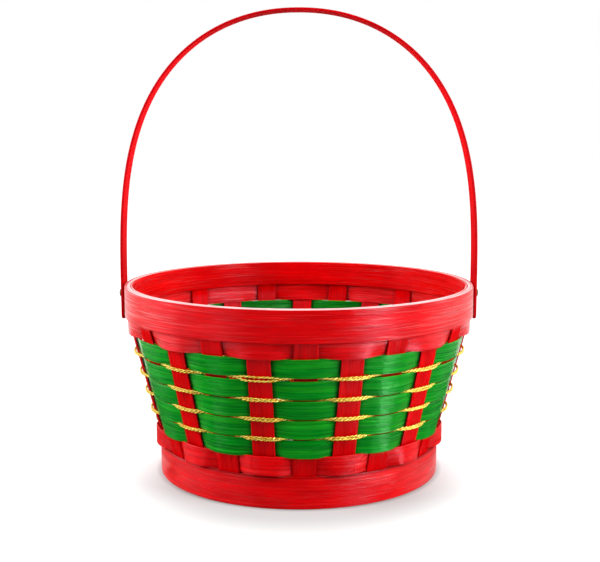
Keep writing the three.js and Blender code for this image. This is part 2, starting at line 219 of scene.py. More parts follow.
def sway(z):
    """How far the first upright sways out at a height. Its neighbours sway the other way."""
    return np.interp(z, SWAY_HEIGHTS, SWAYS)


def upright_azimuth(index, z):
    """Where an upright stands at a height. It is on its even place only on the floor."""
    even = FIRST_AZIMUTH + np.asarray(index) * PITCH
    turned = (np.degrees(even) + 180) % 360 - 180
    drift = np.radians(np.interp(turned, DRIFT_AZIMUTHS, DRIFTS))
    share = np.interp(z, (FLOOR_HEIGHT, FOOT_TOP, WALL_BEND), (0, DRIFT_AT_FOOT, 1))
    return even + drift * share


def outwards(azimuth):
    """The level direction away from the basket's axis."""
    azimuth = np.asarray(azimuth, float)
    return np.stack([np.sin(azimuth), -np.cos(azimuth), np.zeros_like(azimuth)], -1)


def along_wall(azimuth):
    """The level direction round the basket, with rising azimuth."""
    azimuth = np.asarray(azimuth, float)
    return np.stack([np.cos(azimuth), np.sin(azimuth), np.zeros_like(azimuth)], -1)


# Meshes


def smooth_noise(count, waves, rng, closed=True):
    """A gentle random curve of about unit height, from its first few waves."""
    share = np.arange(count) / (count if closed else max(count - 1, 1))
    curve = np.zeros(count)
    for wave in range(1, waves + 1):
        curve += rng.normal() * np.sin(TURN * (wave * share + rng.random())) / math.sqrt(waves)
    return curve


def smoothed(values, width):
    """The same count of values, each averaged with its neighbours."""
    kernel = np.hanning(width)
    return np.convolve(np.pad(values, width // 2, mode="edge"), kernel / kernel.sum(), "valid")


def rounded_section(width, thickness, radius, across, arc):
    """A flat strip's outline, as (across, out) pairs, with how near each is to a cut edge."""
    half_width, half_thickness = width / 2, thickness / 2
    radius = min(radius, half_thickness * 0.999, half_width * 0.999)
    corner = []
    for turn in np.linspace(0, math.pi / 2, arc + 1)[1:-1]:
        x = half_width - radius + radius * math.sin(turn)
        corner.append((x, half_thickness - radius + radius * math.cos(turn)))
    corner.append((half_width, half_thickness - radius))
    face = np.linspace(radius - half_width, half_width - radius, across)
    half = [(x, half_thickness) for x in face]
    half += corner + [(x, -out) for x, out in corner[::-1]]
    points = np.concatenate([half, -np.array(half)])
    edge = np.clip(1 - (half_width - np.abs(points[:, 0])) / NEAR_EDGE, 0, 1)
    return points, edge


def grid_mesh(name, grid, closed, attributes):
    """A tube of cross-sections: grid[i, j] is corner j of section i, in millimetres.

    The UV map called fibre holds millimetres along the strip and round its outline.
    """
    sections, corners = grid.shape[:2]
    spans = sections if closed else sections - 1
    i, j = np.meshgrid(np.arange(spans), np.arange(corners), indexing="ij")
    next_i, next_j = (i + 1) % sections, (j + 1) % corners
    quads = np.stack(
        [i * corners + j, i * corners + next_j, next_i * corners + next_j, next_i * corners + j],
        -1,
    ).reshape(-1, 4)
    middles = grid.mean(1)
    ahead = np.roll(middles, -1, axis=0) if closed else middles[1:]
    steps = np.linalg.norm(ahead - (middles if closed else middles[:-1]), axis=1)
    along = np.concatenate([[0], np.cumsum(steps)])
    outline = np.linalg.norm(np.roll(grid[0], -1, axis=0) - grid[0], axis=1)
    around = np.concatenate([[0], np.cumsum(outline)])
    u = np.stack([along[i], along[i], along[i + 1], along[i + 1]], -1)
    v = np.stack([around[j], around[j + 1], around[j + 1], around[j]], -1)
    uv = np.stack([u, v], -1).reshape(-1, 2)
    faces = quads.tolist()
    if not closed:
        first = list(range(corners))
        last = [(sections - 1) * corners + k for k in range(corners)]
        faces += [first[::-1], last]
        caps = [(along[0], around[k]) for k in reversed(range(corners))]
        caps += [(along[-1], around[k]) for k in range(corners)]
        uv = np.concatenate([uv, np.array(caps)])
    points = grid.reshape(-1, 3)
    if signed_volume(points, quads) < 0:
        faces = [face[::-1] for face in faces]
        starts = np.concatenate([[0], np.cumsum([len(face) for face in faces])])
        order = [np.arange(end - 1, start - 1, -1) for start, end in zip(starts, starts[1:])]
        uv = uv[np.concatenate(order)]
    mesh = bpy.data.meshes.new(name)
    mesh.from_pydata((points * MM).tolist(), [], faces)
    layer = mesh.uv_layers.new(name="fibre")
    layer.uv.foreach_set("vector", uv.astype(np.float32).ravel())
    for key, values in attributes.items():
        field = mesh.attributes.new(key, "FLOAT", "POINT")
        flat = np.broadcast_to(values, (sections, corners)).astype(np.float32).ravel()
        field.data.foreach_set("value", flat)
    mesh.polygons.foreach_set("use_smooth", [True] * len(mesh.polygons))
    if not closed:
        mark_caps_sharp(mesh, corners)
    mesh.validate()
    mesh.update()
    return mesh


def signed_volume(points, quads):
    """Below zero where the quads of a tube face inwards."""
    a, b, c, d = (points[quads[:, k]] for k in range(4))
    return float(np.sum(np.cross(a, b) * c) + np.sum(np.cross(a, c) * d))


def mark_caps_sharp(mesh, corners):
    """The rims of the two end faces stay sharp."""
    total = len(mesh.vertices)
    cap = set(range(corners)) | set(range(total - corners, total))
    for edge in mesh.edges:
        a, b = edge.vertices
        ring = (a < corners) == (b < corners)
        edge.use_edge_sharp = a in cap and b in cap and ring


def add_piece(name, mesh, body, slot, material, *nodes):
    """A visible piece that stands in for these CAD nodes."""
    piece = bpy.data.objects.new(name, mesh)
    bpy.context.scene.collection.objects.link(piece)
    piece.data.materials.append(material)
    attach(piece, body)
    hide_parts(*nodes)


# Bands


def band_grid(radius, thickness, bottom, top, lap_azimuth, edge_radius, rng):
    """A flat strip bent round once. Its ends are cut to thin wedges that lap each other."""
    steps_round, steps_lap = 360, 24
    lap = BAND_LAP / radius
    wedge = thickness - BAND_END_THICKNESS - GAP
    shoulder = GAP / radius
    start = lap_azimuth - lap / 2
    under = np.linspace(0, 1, steps_lap)
    whole = np.linspace(start + lap + shoulder, start + TURN - shoulder, steps_round)
    azimuths = np.concatenate([start + under * lap, whole, start + TURN + under * lap])
    thick = np.full(len(azimuths), float(thickness))
    thick[:steps_lap] = BAND_END_THICKNESS + under * (wedge - BAND_END_THICKNESS)
    thick[-steps_lap:] = wedge + under * (BAND_END_THICKNESS - wedge)
    middle = np.full(len(azimuths), radius - thickness / 2)
    middle[:steps_lap] = radius - thickness + thick[:steps_lap] / 2
    middle[-steps_lap:] = radius - thick[-steps_lap:] / 2
    section, edge = rounded_section(top - bottom, thickness, edge_radius, 14, 4)
    lean = BAND_LEAN * smooth_noise(len(azimuths), 9, rng, closed=False)
    out = section[:, 1][None, :] * (thick / thickness)[:, None]
    share = section[:, 0] / (top - bottom)
    radii = middle[:, None] + out + lean[:, None] * share[None, :]
    z = np.broadcast_to((bottom + top) / 2 + section[:, 0], radii.shape)
    grid = outwards(azimuths)[:, None, :] * radii[..., None]
    return grid + UP * z[..., None], section, edge, z


def add_band(
    name, node, thickness, lap_azimuth, edge_radius, material, slot="red_bamboo", worn_and_lit=0, painted_shadow=0
):
    """One of the bands. Its worn lip is palest on its inner side, and paler in front, a painted
    highlight.
    """
    radius, bottom, top = extent(node)
    rng = np.random.default_rng(sum(map(ord, name)))
    sizes = (radius, thickness, bottom, top)
    grid, section, edge, z = band_grid(*sizes, lap_azimuth, edge_radius, rng)
    inside = 0.5 - section[:, 1] / thickness
    front = -grid[..., 1] / radius
    # The lip's pale dye is partly wear and partly a painted highlight, strongest in front
    wear_and_highlight = (0.55 + 0.45 * inside) * np.clip(0.5 + 0.9 * front, 0.4, 1)
    attributes = {
        "edge": edge[None, :],
        "wear_and_highlight": wear_and_highlight * (top - z < worn_and_lit),
        "inside": inside[None, :],
        # A painted shadow along the band's top edge
        "painted_shade": BAND_PAINTED_SHADOW * (top - z < painted_shadow),
        "tone": rng.random(),
        "loop": OPEN_LOOP,
    }
    mesh = grid_mesh(name, grid, False, attributes)
    add_piece(name, mesh, "basket", slot, material, node)


# Uprights and floor


def upright_path(index):
    """Radius and height down an upright, from its top to where it lies on the floor."""
    side = -1 if index % 2 else 1
    step = 1.25
    heights = np.arange(FILLER_BOTTOM - GAP, FLOOR_HEIGHT + FLOOR_BEND_RADIUS, -step)
    radii = smoothed(wall_radius(heights) + side * sway(heights), 9)
    turns = np.linspace(0, math.pi / 2, 7)
    bend_radii = FOOT_WALL - FLOOR_BEND_RADIUS * (1 - np.cos(turns))
    bend_heights = FLOOR_HEIGHT + FLOOR_BEND_RADIUS * (1 - np.sin(turns))
    return np.concatenate([radii, bend_radii]), np.concatenate([heights, bend_heights])


def grid_offset(i):
    """How far a strip lies from the middle of the floor."""
    middle = (STRIPS_EACH_WAY - 1) / 2
    return FOOT_WALL * math.sin((i - middle) * PITCH)


def strip_frames(i, turned):
    """Middles, width directions and normals along a strip, over the floor and up both walls."""
    middle = (STRIPS_EACH_WAY - 1) / 2
    turn = middle % 1
    grid_azimuth = FIRST_AZIMUTH + turn * PITCH
    direction = grid_azimuth + (TURN / 4 if turned else 0)
    ahead, across = outwards(direction), along_wall(direction)
    quarter = STRIPS_EACH_WAY if turned else 0
    start = round(quarter + turn + i - middle)
    end = round(quarter + UPRIGHTS / 2 + turn - i + middle)
    crossings = []
    for j in range(STRIPS_EACH_WAY):
        over = 1 if (i + j) % 2 == (1 if turned else 0) else -1
        place = -grid_offset(j) if turned else grid_offset(j)
        crossings.append((place, over))
    crossings.sort(reverse=True)
    places = np.array([place for place, _ in crossings])
    overs = np.array([over for _, over in crossings], float)
    half_width = STRIP_WIDTH / 2
    level = 0.8 * half_width
    knots_x, knots_h = [], []
    for place, over in zip(places, overs):
        knots_x += [place + level, place - level]
        knots_h += [over, over]
    sweep = np.linspace(places[0] + half_width, places[-1] - half_width, 110)
    heights = smoothed(np.interp(-sweep, -np.array(knots_x), knots_h), 7)
    crossing = (STRIP_THICKNESS + GAP) / 2
    floor = ahead * sweep[:, None] + across * grid_offset(i)
    floor[:, 2] = FLOOR_HEIGHT + crossing * heights
    parts = []
    for index, sign in ((start, 1), (end, -1)):
        radii, levels = upright_path(index)
        azimuth = upright_azimuth(index, levels)
        wall = outwards(azimuth) * radii[:, None] + UP * levels[:, None]
        parts.append((wall, sign * along_wall(azimuth)))
    middles = np.concatenate([parts[0][0], floor, parts[1][0][::-1]])
    sides = np.concatenate([parts[0][1], np.broadcast_to(across, floor.shape), parts[1][1][::-1]])
    path = np.gradient(middles, axis=0)
    path /= np.linalg.norm(path, axis=1, keepdims=True)
    normals = np.cross(path, sides)
    normals /= np.linalg.norm(normals, axis=1, keepdims=True)
    return middles, sides, normals


def add_strip(number, material):
    """A strip that crosses the floor and rises on two opposite sides."""
    i, turned = (number - 1) % STRIPS_EACH_WAY, number > STRIPS_EACH_WAY
    name = f"bamboo_strip_{number:02d}"
    rng = np.random.default_rng(STRIP_SEED + number)
    middles, sides, normals = strip_frames(i, turned)
    section, edge = rounded_section(STRIP_WIDTH, STRIP_THICKNESS, STRIP_EDGE_RADIUS, 12, 3)
    uneven = STRIP_WIDTH_UNEVEN * smooth_noise(len(middles), 8, rng, closed=False)
    width = 1 - STRIP_SHRINKAGE + uneven
    wander = STRIP_WANDER * smooth_noise(len(middles), 6, rng, closed=False)
    across = section[:, 0][None, :] * width[:, None] + wander[:, None]
    grid = (
        middles[:, None, :]
        + sides[:, None, :] * across[..., None]
        + normals[:, None, :] * section[:, 1][None, :, None]
    )
    outer_side = -math.copysign(1, normals[len(normals) // 2][2])
    inside = 0.5 - outer_side * section[:, 1] / STRIP_THICKNESS
    reach = np.hypot(middles[:, 0], middles[:, 1])
    z = middles[:, 2]
    # Painted shade on the outer face where the upright passes behind the greens
    behind_greens = (reach < wall_radius(z)) & (z > GREENS[-1][0]) & (z < GREENS[0][1])
    outside = np.clip(1 - 2 * inside, 0, 1)
    attributes = {
        "edge": edge[None, :],
        "wear_and_highlight": 0.0,
        "inside": inside[None, :],
        "painted_shade": BEHIND_GREENS_PAINTED_SHADE * behind_greens[:, None] * outside[None, :],
        "tone": rng.random(),
        "loop": OPEN_LOOP,
    }
    mesh = grid_mesh(name, grid, False, attributes)
    add_piece(name, mesh, "basket", "red_bamboo", material, f"strip_{number:02d}")


# Hoops


def upright_count(azimuth, z):
    """How many uprights from the first one an azimuth is at a height, with fractions between."""
    indices = np.arange(-UPRIGHTS, 2 * UPRIGHTS)
    return np.interp(azimuth, upright_azimuth(indices, z), indices)


def weave(azimuth, z):
    """1.15 over the middle of the first upright and -1.15 over its neighbours', in a smooth bow."""
    wave = np.cos(upright_count(azimuth, z) * math.pi)
    return BOW * wave - BOW_FLATTENING * wave**3


def woven_radius(z, over, side, thickness):
    """Radius of the middle of a woven strip, where over is its weave and side its first side."""
    sag = flat_sag(wall_radius(z))
    crossing = (STRIP_THICKNESS + thickness + sag) / 2 + GAP + side * sway(z)
    return wall_radius(z) + sag / 2 + over * crossing


def add_hoop(
    name, node, heights, side, standoff, plays, material, slot="red_bamboo", shade=RED_HOOP_PAINTED_SHADE
):
    """A hoop of flat strip, woven through the uprights.

    Where it bows out, its top and bottom edges stand off the wall and shift up by their plays.
    """
    bottom, top = heights
    steps = UPRIGHTS * 20
    rng = np.random.default_rng(sum(map(ord, name)))
    azimuths = np.arange(steps) * TURN / steps
    over = side * weave(azimuths, (bottom + top) / 2)
    section, edge = rounded_section(top - bottom, WEAVER_THICKNESS, WEAVER_EDGE_RADIUS, 12, 3)
    z = (bottom + top) / 2 + section[:, 0]
    free_top = min(top, WALL_BEND)
    low = np.clip((free_top - z) / (free_top - bottom), 0, 1)
    away = (standoff[0] + low * (standoff[1] - standoff[0])) * (1 + over[:, None]) / 2
    uneven = HOOP_UNEVEN * smooth_noise(steps, 40, rng)[:, None]
    radii = woven_radius(z, over[:, None], side, WEAVER_THICKNESS) + away + uneven
    radii = radii + section[:, 1][None, :]
    play = over[:, None] * (plays[0] + low * (plays[1] - plays[0]))
    ragged = HOOP_RAGGED * smooth_noise(steps, 30, rng)[:, None] * np.sign(section[:, 0])[None, :]
    grid = outwards(azimuths)[:, None, :] * radii[..., None]
    grid = grid + UP * (z + play + ragged)[..., None]
    middles = grid.mean(1)
    loop = np.linalg.norm(np.roll(middles, -1, axis=0) - middles, axis=1).sum()
    attributes = {
        "edge": edge[None, :],
        "wear_and_highlight": 0.0,
        "inside": 0.5 - section[:, 1][None, :] / WEAVER_THICKNESS,
        # Painted shade where the hoop goes in under an upright
        "painted_shade": shade * np.clip(-1 - 2 * over[:, None] * np.sign(section[:, 1]), 0, 1),
        "tone": rng.random(),
        "loop": loop,
    }
    mesh = grid_mesh(name, grid, True, attributes)
    add_piece(name, mesh, "basket", slot, material, node)


# Gold cords


def strand_grid(middles, twist_start):
    """Two plies twisted round a closed line, as one lobed tube, and where its valleys are."""
    path = np.roll(middles, -1, axis=0) - np.roll(middles, 1, axis=0)
    path /= np.linalg.norm(path, axis=1, keepdims=True)
    up = UP - path * path[:, 2:3]
    up /= np.linalg.norm(up, axis=1, keepdims=True)
    out = np.cross(path, up)
    steps = np.linalg.norm(np.roll(middles, -1, axis=0) - middles, axis=1)
    along = np.concatenate([[0], np.cumsum(steps)[:-1]])
    turns = round(steps.sum() / STRAND_TWIST)
    twist = twist_start + TURN * turns * along / steps.sum()
    corners, waist = 12, 1.25
    round_angle = np.arange(corners) * TURN / corners
    lobes = np.maximum(2 * np.abs(np.cos(round_angle)), waist) * STRAND_PLY_RADIUS
    angle = round_angle[None, :] + twist[:, None]
    flat = out[:, None, :] * np.cos(angle)[..., None] + up[:, None, :] * np.sin(angle)[..., None]
    valley = 1 - np.abs(np.cos(round_angle))
    return middles[:, None, :] + flat * lobes[None, :, None], valley[None, :]


def add_cord(number, material):
    """A gold cord in the gap under a green hoop: two strands that part over each upright."""
    bottom = GREENS[number - 1][0]
    top = GREENS[number][1]
    z = (bottom + top) / 2
    steps = 2160
    azimuths = np.arange(steps) * TURN / steps
    over = -weave(azimuths, z)
    radius = woven_radius(z, over, -1, CORD_THICKNESS)
    rng = np.random.default_rng(CORD_SEED + number)
    slack = rng.uniform(0.0, STRAND_SLACK, UPRIGHTS)
    if number == 1:
        slack[LOOSE_CROSSING] = 1
    slack = slack[np.round(upright_count(azimuths, z)).astype(int) % UPRIGHTS]
    lean = np.clip((over + 0.1) / 1.25, 0, 1)
    spread = STRAND_NEAR + (STRAND_SPREAD - STRAND_NEAR) * slack * lean**1.3
    stand = np.clip(lean * 1.6, 0, 1) * math.pi / 2
    for strand, sign in (("upper", 1), ("lower", -1)):
        loose = 1 + STRAND_UNEVEN * smooth_noise(steps, 60, rng)
        rise = sign * spread / 2 * np.sin(stand) * loose
        depth = sign * spread / 2 * np.cos(stand)
        wander = STRAND_UNEVEN * smooth_noise(steps, 50, rng)
        middles = outwards(azimuths) * (radius + depth)[:, None]
        middles[:, 2] = z + rise + wander
        grid, valley = strand_grid(middles, rng.random() * TURN)
        name = f"gold_strand_{number}_{strand}"
        mesh = grid_mesh(name, grid, True, {"tone": rng.random(), "valley": valley})
        add_piece(name, mesh, "basket", "gold_cord", material, f"gold_cord_{number}")


# Handle


def handle_arch(leg_outside, rise, spring):
    """Points at equal steps along the handle's outer face, from the right leg to the left one."""
    fine_steps, steps = 4000, 300
    turn = np.linspace(0, math.pi / 2, fine_steps)
    x = leg_outside * np.cos(turn) ** (2 / HANDLE_SIDE_EXPONENT)
    z = spring + rise * np.sin(turn) ** (2 / HANDLE_RISE_EXPONENT)
    x = np.concatenate([x, -x[-2::-1]])
    z = np.concatenate([z, z[-2::-1]])
    length = np.concatenate([[0], np.cumsum(np.hypot(np.diff(x), np.diff(z)))])
    even = np.linspace(0, length[-1], steps)
    return np.interp(even, length, x), np.interp(even, length, z)


def add_handle(material):
    """One strip, bent to an arch with straight legs and rounded tails."""
    low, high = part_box("handle")
    leg_outside = high.x / MM
    bottom = low.z / MM - HANDLE_TAIL_LONGER
    top = high.z / MM
    width = (high.y - low.y) / MM
    spring = RIM_TOP - HANDLE_SPRING_BELOW_RIM
    x, z = handle_arch(leg_outside, top - spring, spring)
    leg = np.linspace(bottom, spring, 26)[:-1]
    outer_x = np.concatenate([np.full(len(leg), leg_outside), x, np.full(len(leg), -leg_outside)])
    outer_z = np.concatenate([leg, z, leg[::-1]])
    outer = np.stack([outer_x, np.zeros_like(outer_x), outer_z], 1)
    path = np.gradient(outer, axis=0)
    path /= np.linalg.norm(path, axis=1, keepdims=True)
    normals = np.stack([path[:, 2], np.zeros(len(path)), -path[:, 0]], 1)
    normals[: len(leg)] = (1, 0, 0)
    normals[-len(leg) :] = (-1, 0, 0)
    rise = np.clip((outer_z - spring) / (top - spring), 0, 1)
    thin = 1 - (1 - HANDLE_CROWN_SHARE) * rise
    middles = outer - normals * (HANDLE_THICKNESS / 2 * thin)[:, None]
    rng = np.random.default_rng(HANDLE_SEED)
    section, edge = rounded_section(width, HANDLE_THICKNESS, HANDLE_EDGE_RADIUS, 14, 5)
    drop = outer_z - bottom
    rounding = np.clip(drop / HANDLE_TAIL_CORNER, 0, 1)
    narrow = HANDLE_TAIL_CORNER * (1 - np.sqrt(1 - (1 - rounding) ** 2))
    narrow[len(leg) : -len(leg)] = 0
    share = 1 - narrow / (width / 2)
    share += HANDLE_UNEVEN * smooth_noise(len(middles), 7, rng, closed=False)
    bevel = np.sqrt(np.clip(drop / HANDLE_TAIL_BEVEL, 0, 1))
    thin = thin * (HANDLE_TAIL_TIP_SHARE + (1 - HANDLE_TAIL_TIP_SHARE) * bevel)
    across = section[:, 0][None, :] * share[:, None]
    out = section[:, 1][None, :] * thin[:, None]
    grid = middles[:, None, :] + normals[:, None, :] * out[..., None]
    grid = grid + np.array([0, 1.0, 0]) * across[..., None]
    inside = 0.5 - section[:, 1][None, :] / HANDLE_THICKNESS
    # Painted shadow on a tail's inner face beside the rim band, and painted shade on the legs'
    # inner faces
    beside_rim = np.clip(drop - 2, 0, 1) * np.clip(RIM_TOP - outer_z, 0, 1)
    beside_rim[len(leg) : -len(leg)] = 0
    shade = np.maximum(BESIDE_RIM_PAINTED_SHADOW * beside_rim, HANDLE_LEG_PAINTED_SHADE * (1 - rise))
    attributes = {
        "edge": edge[None, :],
        "wear_and_highlight": 0.0,
        "inside": inside,
        "painted_shade": np.clip(inside * 2 - 0.6, 0, 1) * shade[:, None],
        "tone": 0.5,
        "loop": OPEN_LOOP,
    }
    mesh = grid_mesh("handle_strip", grid, False, attributes)
    add_piece("handle_strip", mesh, "handle", "red_bamboo", material, "handle")


# Rivets


def turned_piece(name, profile, side, attributes):
    """A profile of (radius, x) pairs turned round the rivets' axis."""
    steps = 40
    angles = np.arange(steps) * TURN / steps
    radii = np.array([radius for radius, _ in profile])
    places = np.array([place for _, place in profile])
    grid = np.empty((steps, len(profile), 3))
    grid[..., 0] = side * places[None, :]
    grid[..., 1] = np.cos(angles)[:, None] * radii[None, :]
    grid[..., 2] = RIVET_HEIGHT + np.sin(angles)[:, None] * radii[None, :]
    return grid_mesh(name, grid, True, attributes)


def add_rivet(name, side, material):
    """A dome-headed rivet through the handle's leg and the rim, clinched inside."""
    low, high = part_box(f"rivet_{name}")
    tail, head = sorted((abs(low.x) / MM, abs(high.x) / MM))
    head_base = head - RIVET_HEAD_RISE
    pole = 0.02
    profile = [(pole, tail)]
    for turn in np.linspace(0.15, math.pi / 2, 7):
        place = tail + RIVET_TAIL_RISE * (1 - math.cos(turn))
        profile.append((RIVET_TAIL_RADIUS * math.sin(turn), place))
    profile.append((RIVET_SHANK_RADIUS, tail + RIVET_TAIL_RISE))
    profile.append((RIVET_SHANK_RADIUS, head_base))
    profile.append((RIVET_HEAD_RADIUS - 0.1, head_base))
    dome = RIVET_HEAD_RISE + RIVET_HEAD_PROUDER
    for turn in np.linspace(0.05, math.pi / 2 - 0.1, 9):
        profile.append((RIVET_HEAD_RADIUS * math.cos(turn), head_base + dome * math.sin(turn)))
    profile.append((pole, head_base + dome))
    lacquer = [float(place < head_base - RIM_BAND_THICKNESS) for _, place in profile]
    mesh = turned_piece(f"rivet_body_{name}", profile, side, {"lacquer": lacquer})
    add_piece(f"rivet_body_{name}", mesh, "basket", "rivet_metal", material, f"rivet_{name}")
    low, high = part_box(f"rivet_washer_{name}")
    inside, outside = sorted((abs(low.x) / MM, abs(high.x) / MM))
    radius = (high.z - low.z) / 2 / MM
    soft = 0.15
    bore = RIVET_SHANK_RADIUS + GAP
    profile = [
        (bore, inside),
        (radius - soft, inside),
        (radius, inside + soft),
        (radius, outside - soft),
        (radius - soft, outside),
        (bore, outside),
    ]
    mesh = turned_piece(f"rivet_disc_{name}", profile, side, {"lacquer": 1.0})
    add_piece(f"rivet_disc_{name}", mesh, "basket", "rivet_metal", material, f"rivet_washer_{name}")


# Materials


class Graph:
    """A material's node tree, built by short calls."""

    def __init__(self, name):
        self.material = bpy.data.materials.new(name)
        self.material.use_nodes = True
        self.tree = self.material.node_tree
        self.tree.nodes.clear()

    def put(self, socket, value):
        """Link a socket to another node's output, or set its value."""
        if isinstance(value, bpy.types.NodeSocket):
            self.tree.links.new(value, socket)
        else:
            socket.default_value = value

    def node(self, kind, inputs=None, **settings):
        """A new node with these settings and inputs."""
        node = self.tree.nodes.new(kind)
        for key, value in settings.items():
            setattr(node, key, value)
        for key, value in (inputs or {}).items():
            self.put(node.inputs[key], value)
        return node

    def math(self, operation, a, b=0.0):
        return self.node("ShaderNodeMath", {0: a, 1: b}, operation=operation).outputs[0]

    def vector(self, x, y, z=0.0):
        return self.node("ShaderNodeCombineXYZ", {0: x, 1: y, 2: z}).outputs[0]

    def scaled(self, vector, scale):
        inputs = {0: vector, 1: scale}
        return self.node("ShaderNodeVectorMath", inputs, operation="MULTIPLY").outputs[0]

    def length(self, vector):
        return self.node("ShaderNodeVectorMath", {0: vector}, operation="LENGTH").outputs["Value"]

    def noise(self, vector, detail=2.0, roughness=0.5, w=0.0):
        inputs = {"Vector": vector, "W": w, "Scale": 1.0, "Detail": detail, "Roughness": roughness}
        return self.node("ShaderNodeTexNoise", inputs, noise_dimensions="4D").outputs[0]

    def ramp(self, value, low, high, to_low=0.0, to_high=1.0):
        """value from low..high to to_low..to_high, smoothly and clamped."""
        inputs = {0: value, 1: low, 2: high, 3: to_low, 4: to_high}
        return self.node("ShaderNodeMapRange", inputs, interpolation_type="SMOOTHSTEP").outputs[0]

    def mix(self, factor, a, b, blend="MIX"):
        """The colour a, and b in its place where factor is 1."""
        node = self.node("ShaderNodeMix", data_type="RGBA", blend_type=blend)
        self.put(node.inputs[0], factor)
        self.put(node.inputs[6], a)
        self.put(node.inputs[7], b)
        return node.outputs[2]

    def attribute(self, name):
        return self.node("ShaderNodeAttribute", attribute_name=name).outputs["Fac"]

    def fibre(self):
        """Millimetres along the strip and round its outline."""
        uv = self.node("ShaderNodeUVMap", uv_map="fibre").outputs[0]
        parts = self.node("ShaderNodeSeparateXYZ", {0: uv})
        return parts.outputs[0], parts.outputs[1]

    def fibre_ring(self):
        """The same, with the length bent round a ring, so that a hoop's pattern meets itself."""
        along, across = self.fibre()
        radius = self.math("DIVIDE", self.attribute("loop"), TURN)
        angle = self.math("DIVIDE", along, radius)
        x = self.math("MULTIPLY", radius, self.math("COSINE", angle))
        y = self.math("MULTIPLY", radius, self.math("SINE", angle))
        return self.vector(x, y, across)

    def finish(self, **inputs):
        """The material, with these inputs on its one shader."""
        shader = self.node("ShaderNodeBsdfPrincipled")
        for key, value in inputs.items():
            self.put(shader.inputs[key.replace("_", " ")], value)
        output = self.node("ShaderNodeOutputMaterial")
        self.tree.links.new(shader.outputs[0], output.inputs[0])
        return self.material


def colour(red, green, blue):
    """A colour given as 8-bit sRGB, in linear values."""

    def linear(value):
        value /= 255
        return value / 12.92 if value <= 0.04045 else ((value + 0.055) / 1.055) ** 2.4

    return (linear(red), linear(green), linear(blue), 1.0)


